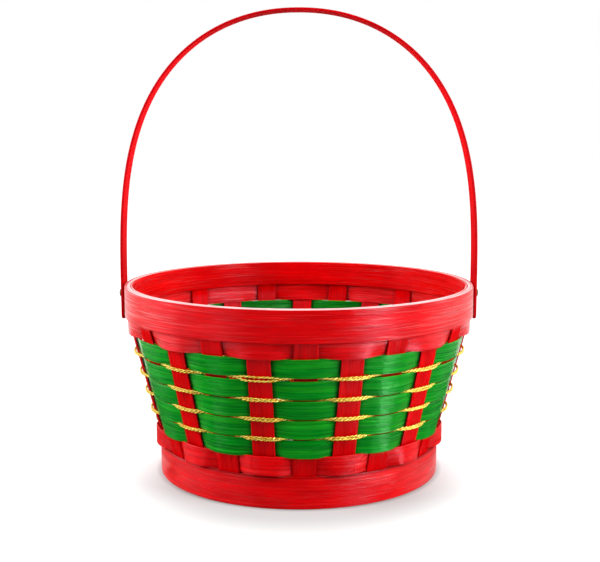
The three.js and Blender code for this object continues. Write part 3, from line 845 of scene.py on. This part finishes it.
def bamboo(
    name,
    deep,
    plain,
    bright,
    gloss,
    shine=0.0,
    groove=colour(96, 0, 0),
    groove_depth=0.15,
    streaks=0.5,
    worn_and_lit=colour(255, 216, 216),
    worn_and_lit_pale=colour(255, 232, 230),
    edge_colour=None,
    edge_share=0.35,
    tint=(1.0, 0.6, 0.82, 1.0),
    smoothest=0.28,
    roughest=0.44,
    outside_painted_shade=0.84,
    inside_painted_shade=1.0,
    inside_roughness=0.0,
    relief=0.0003,
):
    """Dyed split bamboo: fibres along the strip, grooves and pale streaks, with painted light and
    shade.

    The mesh says where. Its edge is 1 on a cut edge, which is lighter, partly wear and partly a
    painted highlight, or darker on the handle, a painted shade. Its wear is where the dye has gone
    on the lip, paler in front as a painted highlight. Its inside is on the inner face, which is
    painted lighter or darker than the outer one, and a painted shade darkens it where a neighbour
    would shade it. Its tone sets one strip apart from the next, and its loop is the length after
    which the grain meets itself.
    """
    g = Graph(name)
    ring = g.fibre_ring()
    tone = g.attribute("tone")
    inside = g.attribute("inside")
    shift = g.math("MULTIPLY", tone, 37.0)

    def fibres(along, across, detail=2.0, roughness=0.5):
        """Noise with this many turns per millimetre along and across the fibres."""
        return g.noise(g.scaled(ring, (along, along, across)), detail, roughness, shift)

    broad = fibres(0.012, 0.5)
    medium = fibres(0.02, 1.1, 3.0, 0.6)
    fine = fibres(0.035, 1.6, 3.0, 0.6)
    ridges = fibres(0.016, 1.5, 3.0, 0.6)
    glints = fibres(0.025, 1.2)
    cloud = fibres(0.05, 0.11)
    lines = fibres(0.004, 0.7)

    # Streaks of dye
    body = g.mix(g.ramp(medium, 0.36, 0.64), deep, plain)
    broad_streaks = 0.3
    body = g.mix(g.math("MULTIPLY", g.ramp(broad, 0.42, 0.68), broad_streaks), body, bright)
    body = g.mix(g.math("MULTIPLY", g.ramp(fine, 0.56, 0.74), streaks), body, bright)

    # Lighter and darker places: clouds, tone and grain at random, and painted light and shade, with
    # one face lighter or darker than the other and painted shade where a neighbour would shade it
    # The darkest that painted shade makes a strip, as a share of its colour
    darkest_painted_shade = 0.03
    shade = g.ramp(cloud, 0.3, 0.7, 0.88, 1.07)
    shade = g.math("MULTIPLY", shade, g.ramp(tone, 0.0, 1.0, 0.94, 1.05))
    shade = g.math("MULTIPLY", shade, g.ramp(fine, 0.25, 0.5, 0.84, 1.0))
    # Painted light and shade: the outer face and the inner face each made lighter or darker
    shade = g.math("MULTIPLY", shade, g.ramp(inside, 0.0, 1.0, outside_painted_shade, inside_painted_shade))
    # Painted shade where a neighbour would shade the strip
    painted_shade = g.ramp(g.attribute("painted_shade"), 0.0, 1.0, 1.0, darkest_painted_shade)
    shade = g.math("MULTIPLY", shade, painted_shade)
    grey = g.node("ShaderNodeCombineColor", {0: shade, 1: shade, 2: shade}).outputs[0]
    body = g.mix(1.0, body, grey, "MULTIPLY")

    # Grooves, edges that are partly worn and partly painted light or shade, and the lip's worn dye
    # with its painted highlight
    groove_width = 0.014
    off_line = g.math("ABSOLUTE", g.math("SUBTRACT", lines, 0.5))
    in_groove = g.ramp(off_line, 0.0, groove_width, 1.0, 0.0)
    body = g.mix(g.math("MULTIPLY", in_groove, groove_depth), body, groove)
    # Edges lighter, partly wear and partly a painted highlight, or darker on the handle, a painted
    # shade
    edge = g.ramp(g.attribute("edge"), 0.35, 1.0)
    edge = g.math("MULTIPLY", edge, g.ramp(medium, 0.3, 0.7, 0.4, 1.0))
    body = g.mix(g.math("MULTIPLY", edge, edge_share), body, edge_colour or bright)
    uneven = g.math("MULTIPLY", g.math("SUBTRACT", medium, 0.5), 0.5)
    # The lip's worn dye, with its painted highlight
    wear_and_highlight = g.ramp(g.math("ADD", g.attribute("wear_and_highlight"), uneven), 0.45, 0.72)
    body = g.mix(wear_and_highlight, body, g.mix(g.ramp(fine, 0.35, 0.65), worn_and_lit, worn_and_lit_pale))

    # Gloss and relief
    rough = g.ramp(ridges, 0.4, 0.6, roughest, smoothest)
    rough = g.math("MAXIMUM", rough, g.math("MULTIPLY", inside, inside_roughness))
    height = g.math("ADD", g.math("MULTIPLY", fine, 0.4), ridges)
    height = g.math("SUBTRACT", height, g.math("MULTIPLY", in_groove, 0.8 * groove_depth))
    bump = g.node("ShaderNodeBump", {"Height": height, "Strength": 0.9, "Distance": relief})
    tangent = g.node("ShaderNodeTangent", direction_type="UV_MAP", uv_map="fibre")
    return g.finish(
        Base_Color=body,
        Roughness=rough,
        Normal=bump.outputs[0],
        Tangent=tangent.outputs[0],
        Anisotropic=1.0,
        Anisotropic_Rotation=0.25,
        Specular_IOR_Level=gloss,
        Specular_Tint=tint,
        Coat_Weight=g.ramp(glints, 0.51, 0.65, 0.0, shine),
        Coat_Roughness=0.28,
        Coat_IOR=1.45,
        Coat_Normal=bump.outputs[0],
    )


def gold_yarn():
    """Metallic film wound round two plies: bright flecks, painted glints, and brown between the
    plies, painted shade.
    """
    g = Graph("gold yarn")
    along, around = g.fibre()
    slant = g.math("ADD", g.math("MULTIPLY", along, 1.3), g.math("MULTIPLY", around, 0.6))
    turns = g.math("SINE", g.math("MULTIPLY", slant, TURN))
    place = g.vector(g.math("MULTIPLY", along, 1.1), g.math("MULTIPLY", around, 0.8))
    crush = g.noise(place, 3.0, 0.6, g.math("MULTIPLY", g.attribute("tone"), 50.0))
    film = g.mix(g.ramp(crush, 0.36, 0.5), colour(206, 146, 10), colour(246, 208, 50))
    # Pale flecks of the film: painted glints
    film = g.mix(g.ramp(crush, 0.49, 0.57), film, colour(255, 250, 130))
    film = g.mix(g.ramp(turns, -1.0, -0.3, 0.3, 0.0), film, colour(150, 84, 0))
    # Painted shade in the valleys between the plies
    film = g.mix(g.ramp(g.attribute("valley"), 0.3, 0.8, 0.0, 1.0), film, colour(120, 50, 0))
    rough = g.ramp(crush, 0.3, 0.7, 0.45, 0.3)
    height = g.math("ADD", g.math("MULTIPLY", turns, 0.5), g.math("MULTIPLY", crush, 1.4))
    bump = g.node("ShaderNodeBump", {"Height": height, "Strength": 0.7, "Distance": 0.00015})
    return g.finish(Base_Color=film, Metallic=0.5, Roughness=rough, Normal=bump.outputs[0])


def rivet_steel():
    """Dull, slightly yellow plated metal with fine scratches, lacquered red inside the rim."""
    g = Graph("rivet metal")
    place = g.node("ShaderNodeTexCoord").outputs["Object"]
    blotch = g.noise(g.scaled(place, (900, 900, 900)), 4.0, 0.6)
    lines = g.noise(g.scaled(place, (4000, 700, 9000)))
    metal = g.mix(g.ramp(blotch, 0.35, 0.65), colour(74, 66, 46), colour(112, 104, 80))
    lacquer = g.attribute("lacquer")
    red = g.mix(g.ramp(blotch, 0.35, 0.65), colour(176, 0, 1), colour(204, 0, 2))
    rough = g.ramp(lines, 0.3, 0.7, 0.4, 0.6)
    bump = g.node("ShaderNodeBump", {"Height": lines, "Strength": 0.3, "Distance": 0.00005})
    return g.finish(
        Base_Color=g.mix(lacquer, metal, red),
        Metallic=g.math("SUBTRACT", 1.0, lacquer),
        Roughness=rough,
        Normal=bump.outputs[0],
        Specular_IOR_Level=0.2,
    )


# Camera, light and floor


def add_camera():
    """The camera stands where the photograph was taken from: in front and a little above."""
    image_width, focal_pixels = 600, 1063.2
    object_left_of_centre = 1.1
    distance, height, down = 763.4, 241.2, 7.87
    data = bpy.data.cameras.new("camera")
    data.sensor_width = 36
    data.lens = focal_pixels * data.sensor_width / image_width
    data.shift_x = object_left_of_centre / image_width
    camera = bpy.data.objects.new("camera", data)
    camera.location = (0, -distance * MM, height * MM)
    camera.rotation_euler = (math.radians(90 - down), 0, 0)
    bpy.context.scene.collection.objects.link(camera)
    bpy.context.scene.camera = camera


def add_softbox(
    name, azimuth, elevation, distance, width, height, radiance, glossy=True, diffuse=True
):
    """A soft lamp, aimed at the basket, whose face has a given brightness, where 1 is white."""
    azimuth, elevation = math.radians(azimuth), math.radians(elevation)
    target = np.array([0, 0, 0.12])
    way = outwards(azimuth) * math.cos(elevation) + UP * math.sin(elevation)
    place = target + distance * way
    data = bpy.data.lights.new(name, "AREA")
    data.shape = "RECTANGLE"
    data.size, data.size_y = width, height
    data.energy = radiance * math.pi * width * height
    lamp = bpy.data.objects.new(name, data)
    lamp.location = place
    lamp.rotation_mode = "QUATERNION"
    lamp.rotation_quaternion = Vector(target - place).to_track_quat("-Z", "Y")
    lamp.visible_camera = False
    lamp.visible_glossy = glossy
    lamp.visible_diffuse = diffuse
    bpy.context.scene.collection.objects.link(lamp)


def add_world():
    """A white studio to the camera, gloss and glass. It lights the object less than that."""
    fill = 0.2
    world = bpy.data.worlds.new("studio")
    world.use_nodes = True
    bpy.context.scene.world = world
    tree = world.node_tree
    tree.nodes.clear()
    path = tree.nodes.new("ShaderNodeLightPath").outputs
    seen = path["Is Camera Ray"]
    for kind in ("Is Glossy Ray", "Is Transmission Ray"):
        either = tree.nodes.new("ShaderNodeMath")
        either.operation = "MAXIMUM"
        tree.links.new(seen, either.inputs[0])
        tree.links.new(path[kind], either.inputs[1])
        seen = either.outputs[0]
    strength = tree.nodes.new("ShaderNodeMapRange")
    strength.inputs[3].default_value = fill
    tree.links.new(seen, strength.inputs[0])
    light = tree.nodes.new("ShaderNodeBackground")
    light.inputs[0].default_value = (1, 1, 1, 1)
    tree.links.new(strength.outputs[0], light.inputs[1])
    output = tree.nodes.new("ShaderNodeOutputWorld")
    tree.links.new(light.outputs[0], output.inputs[0])


def add_floor():
    """A plain floor that keeps the basket's shadow, adds painted shadow round the foot and ahead of
    it, and fades into the white background.
    """
    # The glow is lowest close round the foot and stays lower further out ahead of it: painted
    # shadow
    painted_contact_shadow = dict(low=0.1005, high=0.106, to_high=0.24)
    spread = dict(low=0.07, high=0.15, to_high=0.71)
    painted_shadow_forward = 0.04
    half = 6.0
    g = Graph("floor")
    path = g.node("ShaderNodeLightPath").outputs
    place = g.node("ShaderNodeTexCoord").outputs["Object"]
    paint = g.mix(g.noise(place), (0.29, 0.29, 0.29, 1), (0.31, 0.31, 0.31, 1))
    seen = g.math("MAXIMUM", path["Is Camera Ray"], path["Is Glossy Ray"])
    seen = g.math("MAXIMUM", seen, path["Is Transmission Ray"])
    inputs = {0: place, 1: (0, painted_shadow_forward, 0)}
    ahead = g.node("ShaderNodeVectorMath", inputs, operation="ADD").outputs[0]
    glow = g.math("ADD", g.ramp(g.length(place), **painted_contact_shadow), g.ramp(g.length(ahead), **spread))
    material = g.finish(
        Base_Color=paint,
        Roughness=0.9,
        Specular_IOR_Level=0.1,
        Emission_Color=(1, 1, 1, 1),
        Emission_Strength=g.math("MULTIPLY", seen, glow),
    )
    mesh = bpy.data.meshes.new("floor")
    corners = [(-half, -half, 0), (half, -half, 0), (half, half, 0), (-half, half, 0)]
    mesh.from_pydata(corners, [], [(0, 1, 2, 3)])
    mesh.materials.append(material)
    floor = bpy.data.objects.new("floor", mesh)
    floor.location.z = -0.1 * MM
    bpy.context.scene.collection.objects.link(floor)


def add_flag(name, first, last, profile, glow=0.0):
    """A card bent round the basket between two azimuths, which only gloss sees.

    A black one keeps the white surroundings out of the gloss, so that the dyes stay deep. A glowing
    one is a painted reflection: it carries a strip light's reflection on down to the table.
    """
    azimuths = np.radians(np.linspace(first, last, 33))
    corners = []
    for way in outwards(azimuths):
        corners += [tuple(reach * way + height * UP) for reach, height in profile]
    faces = []
    for i in range(len(azimuths) - 1):
        for j in range(len(profile) - 1):
            a, b = i * len(profile) + j, (i + 1) * len(profile) + j
            faces.append((a, a + 1, b + 1, b))
    mesh = bpy.data.meshes.new(name)
    mesh.from_pydata(corners, [], faces)
    g = Graph(name)
    card = g.finish(
        Base_Color=(0, 0, 0, 1),
        Roughness=1,
        Specular_IOR_Level=0,
        Emission_Color=(1, 1, 1, 1),
        Emission_Strength=glow,
    )
    mesh.materials.append(card)
    flag = bpy.data.objects.new(name, mesh)
    flag.visible_camera = False
    flag.visible_diffuse = False
    flag.visible_shadow = False
    flag.visible_transmission = False
    bpy.context.scene.collection.objects.link(flag)


def add_lights():
    """Strip lights that only light gloss, panels at the sides, and fills that gloss can't see."""
    strips = dict(elevation=18, distance=0.9, height=0.9, diffuse=False)
    panels = dict(elevation=14, distance=1.9, width=1.1, height=1.5)
    fills = dict(elevation=22, distance=1.7, height=1.4, glossy=False)
    above = dict(distance=1.7, radiance=1.6)
    add_softbox("right strip light", azimuth=48, width=0.08, radiance=44.0, **strips)
    add_softbox("left strip light", azimuth=-46, width=0.05, radiance=12.0, **strips)
    add_softbox("right panel", azimuth=102, radiance=3.4, **panels)
    add_softbox("left panel", azimuth=-100, radiance=3.3, **panels)
    add_softbox("left fill", azimuth=-76, width=0.8, radiance=12.0, **fills)
    add_softbox("right fill", azimuth=62, width=0.6, radiance=17.0, **fills)
    add_softbox(
        "top front softbox", azimuth=0, elevation=50, width=1.3, height=0.8, glossy=False, **above
    )
    add_softbox("top softbox", azimuth=180, elevation=75, width=1.4, height=1.4, **above)


def add_flags():
    """Black cards on the table and in front, and glowing cards on the table, painted reflections of
    the strip lights.
    """
    wall = ((0.103, 0.0), (1.0, 0.0), (1.0, 2.4), (0.5, 2.4))
    ground = ((0.12, 0.0), (0.45, 0.0))
    streak = ((0.13, 0.001), (0.8, 0.001))
    add_flag("black card front", -78, 50, wall)
    add_flag("black card right", 50, 135, ground)
    add_flag("black card left", -135, -78, ground)
    # Glowing cards that only gloss sees: painted reflections of the strip lights
    add_flag("right strip light's painted reflection", 45.5, 50.5, streak, glow=20.0)
    add_flag("left strip light's painted reflection", -47.5, -44.5, streak, glow=5.0)


# The scene


add_camera()
add_world()
add_lights()
add_floor()
add_flags()

red_plain = bamboo(
    "red bamboo",
    deep=colour(190, 0, 1),
    plain=colour(213, 0, 2),
    bright=colour(232, 2, 6),
    gloss=0.16,
    shine=0.7,
    worn_and_lit=colour(255, 184, 188),
    worn_and_lit_pale=colour(255, 214, 214),
)
red_hoop_dye = dict(
    deep=colour(186, 0, 1),
    plain=colour(213, 0, 2),
    bright=colour(234, 2, 6),
    groove_depth=0.2,
    smoothest=0.24,
    roughest=0.38,
)
red_hoop = bamboo("red bamboo hoops", gloss=0.23, shine=0.6, **red_hoop_dye)
# A copy of the hoops' material for the bottom hoop, its outer face painted lighter, with less gloss
red_low_hoop_painted_lighter = bamboo(
    "red bamboo low hoop painted lighter", gloss=0.17, shine=0.4, outside_painted_shade=0.92, **red_hoop_dye
)
# The inner band: matte, and painted a little lighter than the outer band, painted light from inside
# the basket
red_inside = bamboo(
    "red bamboo inside",
    deep=colour(194, 0, 1),
    plain=colour(207, 0, 2),
    bright=colour(228, 4, 8),
    gloss=0.05,
    shine=0.6,
    groove=colour(120, 0, 0),
    groove_depth=0.4,
    streaks=0.7,
    inside_painted_shade=0.94,
)
# Its edges are lightened, partly wear and partly a painted highlight on their rounding
red_upright = bamboo(
    "red bamboo uprights",
    deep=colour(190, 0, 2),
    plain=colour(210, 0, 3),
    bright=colour(230, 4, 8),
    gloss=0.11,
    shine=0.1,
    groove=colour(92, 0, 0),
    groove_depth=0.5,
    streaks=0.25,
    edge_share=0.6,
)
# Its inner face is painted darker than its outer one, a painted shade
green_plain = bamboo(
    "green bamboo",
    deep=colour(0, 101, 18),
    plain=colour(0, 134, 26),
    bright=colour(46, 190, 28),
    gloss=0.26,
    shine=0.35,
    groove=colour(0, 60, 8),
    groove_depth=0.25,
    streaks=0.4,
    edge_share=0.3,
    tint=(0.12, 1.0, 0.25, 1.0),
    smoothest=0.2,
    roughest=0.3,
    outside_painted_shade=0.9,
    inside_painted_shade=0.7,
)
# The rim's filling strip: its pale pink is partly its own colour and partly a painted highlight on
# the rim's top
pale_bamboo = bamboo(
    "pale bamboo",
    deep=colour(236, 140, 140),
    plain=colour(246, 170, 168),
    bright=colour(252, 204, 200),
    gloss=0.3,
    groove=colour(214, 120, 116),
    groove_depth=0.4,
    edge_share=0.3,
)
# Painted shade: its cut edges and outer face are darker. Painted light: its inner face is lighter,
# for the crown's underside, and the mesh's painted shade darkens it again on the legs.
red_handle = bamboo(
    "red bamboo handle",
    deep=colour(196, 2, 7),
    plain=colour(206, 2, 8),
    bright=colour(218, 8, 15),
    gloss=0.1,
    streaks=0.3,
    edge_colour=colour(163, 0, 4),
    edge_share=1.0,
    outside_painted_shade=0.8,
    inside_painted_shade=1.4,
    inside_roughness=1.0,
    relief=0.00004,
)
gold = gold_yarn()
metal = rivet_steel()

add_band(
    "rim_band_outside",
    "rim_outer_band",
    RIM_BAND_THICKNESS,
    lap_azimuth=BACK,
    edge_radius=0.45,
    material=red_plain,
    worn_and_lit=LIP_WORN_AND_LIT,
)
add_band(
    "rim_band_inside",
    "rim_inner_band",
    INNER_BAND_THICKNESS,
    lap_azimuth=FRONT,
    edge_radius=0.4,
    material=red_inside,
    worn_and_lit=LIP_WORN_AND_LIT,
)
add_band(
    "rim_filling_strip",
    "rim_filler",
    FILLER_RADIUS - INNER_BAND_RADIUS - GAP,
    lap_azimuth=FILLER_LAP,
    edge_radius=0.2,
    material=pale_bamboo,
    slot="pale_bamboo",
)
add_band(
    "foot_ring",
    "foot_band",
    FOOT_BAND_THICKNESS,
    lap_azimuth=BACK,
    edge_radius=0.35,
    material=red_plain,
    painted_shadow=FOOT_PAINTED_SHADOW,
)
for number in range(1, 2 * STRIPS_EACH_WAY + 1):
    add_strip(number, red_upright)
add_hoop(
    "red_hoop_top",
    "weaver_red_top",
    TOP_ROW,
    side=-1,
    standoff=TOP_ROW_STANDOFF,
    plays=(0, -EDGE_PLAY),
    material=red_hoop,
)
for number, heights in enumerate(GREENS, 1):
    add_hoop(
        f"green_hoop_{number}",
        f"weaver_green_{number}",
        heights,
        side=1,
        standoff=GREEN_ROW_STANDOFF,
        plays=(0, -EDGE_PLAY),
        material=green_plain,
        slot="green_bamboo",
        shade=GREEN_HOOP_PAINTED_SHADE,
    )
add_hoop(
    "red_hoop_bottom",
    "weaver_red_bottom",
    BOTTOM_ROW,
    side=-1,
    standoff=BOTTOM_ROW_STANDOFF,
    plays=(EDGE_PLAY, EDGE_PLAY),
    material=red_low_hoop_painted_lighter,
)
for number in range(1, GREEN_ROWS):
    add_cord(number, gold)
add_handle(red_handle)
for name, side in (("left", -1), ("right", 1)):
    add_rivet(name, side, metal)

scene = bpy.context.scene
scene.view_settings.view_transform = "Standard"
